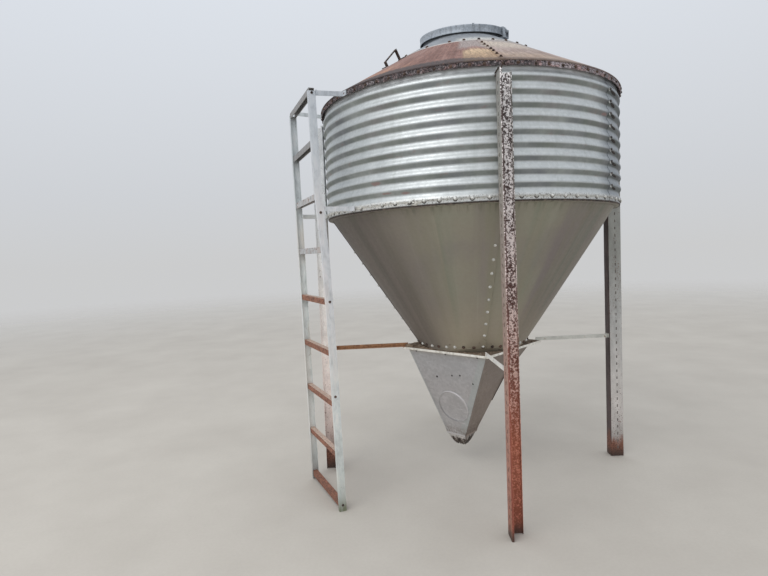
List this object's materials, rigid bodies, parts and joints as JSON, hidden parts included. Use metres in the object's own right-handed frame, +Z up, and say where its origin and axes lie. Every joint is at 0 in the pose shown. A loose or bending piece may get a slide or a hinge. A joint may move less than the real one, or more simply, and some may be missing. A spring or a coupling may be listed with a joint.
{
  "type": "grain silo",
  "caption": "Hopper-bottom grain silo: corrugated round bin with conical roof and hinged lid on angle legs, over a cone hopper and square discharge boot, with a fixed ladder.",
  "frame": {"origin": "middle of the box round the whole, on the ground under the legs and the ladder", "axes": "+Z up, +X to the right and +Y away from someone who faces the front leg; the ladder stands at the left, towards -X and -Y"},
  "size_m": [2.1286, 2.019, 2.8405],
  "materials": {
    "wall_steel": "hot-dip galvanised corrugated sheet, bright with grey-green weathering",
    "rim_steel": "galvanised band gone dark with rust",
    "roof_steel": "galvanised sheet, zinc worn off to brown-pink rust",
    "collar_steel": "weathered galvanised sheet, blue-grey",
    "hinge_steel": "weathered galvanised strap",
    "handle_steel": "dark rusted strap",
    "hopper_steel": "dull galvanised sheet, dusty grey-olive",
    "plate_steel": "galvanised plate under dust and rust, bright turned-down edge",
    "boot_steel": "galvanised sheet, pale grey",
    "outlet_steel": "rusted away along its lower edge",
    "leg_steel": "galvanised angle, rusted on one leg and at the feet",
    "brace_steel": "galvanised angle with rust",
    "ladder_steel": "galvanised channel, pale blue-grey, lower rungs rusted"
  },
  "bodies": {
    "silo": {"wall_sheet_right": "wall_steel", "wall_sheet_back": "wall_steel", "wall_sheet_left": "wall_steel", "wall_sheet_front": "wall_steel", "eave_rim": "rim_steel", "roof_panel_right": "roof_steel", "roof_panel_back": "roof_steel", "roof_panel_left": "roof_steel", "roof_panel_front": "roof_steel", "filling_collar": "collar_steel", "lid_hinge_bracket": "hinge_steel", "roof_handle": "handle_steel", "hopper_top_ring": "hopper_steel", "hopper_panel_right": "hopper_steel", "hopper_panel_back": "hopper_steel", "hopper_panel_left": "hopper_steel", "hopper_panel_front": "hopper_steel", "hopper_neck_ring": "hopper_steel", "boot_top_plate": "plate_steel", "boot_wall_front_left": "boot_steel", "boot_wall_front_right": "boot_steel", "boot_wall_back_right": "boot_steel", "boot_wall_back_left": "boot_steel", "boot_cover_plate": "boot_steel", "outlet_spout": "outlet_steel", "leg_front": "leg_steel", "leg_right": "leg_steel", "leg_back": "leg_steel", "leg_left": "leg_steel", "brace_front": "brace_steel", "brace_right": "brace_steel", "brace_back": "brace_steel", "brace_left": "brace_steel", "ladder_stile_near": "ladder_steel", "ladder_stile_far": "ladder_steel", "ladder_rung_1": "ladder_steel", "ladder_rung_2": "ladder_steel", "ladder_rung_3": "ladder_steel", "ladder_rung_4": "ladder_steel", "ladder_rung_5": "ladder_steel", "ladder_rung_6": "ladder_steel", "ladder_rung_7": "ladder_steel", "ladder_rung_8": "ladder_steel", "ladder_rung_9": "ladder_steel", "ladder_arm_top_near": "ladder_steel", "ladder_arm_top_far": "ladder_steel", "ladder_arm_low_near": "ladder_steel", "ladder_arm_low_far": "ladder_steel"},
    "lid": {"lid": "collar_steel", "lid_hinge_strap": "hinge_steel"}
  },
  "joints": [
    {"name": "lid_hinge", "type": "hinge", "parent": "silo", "child": "lid", "pos_m": [0.29322, -0.17822, 2.76866], "axis": [0.6018, 0.7934, 0.0912], "range_deg": [0, 100]}
  ]
}
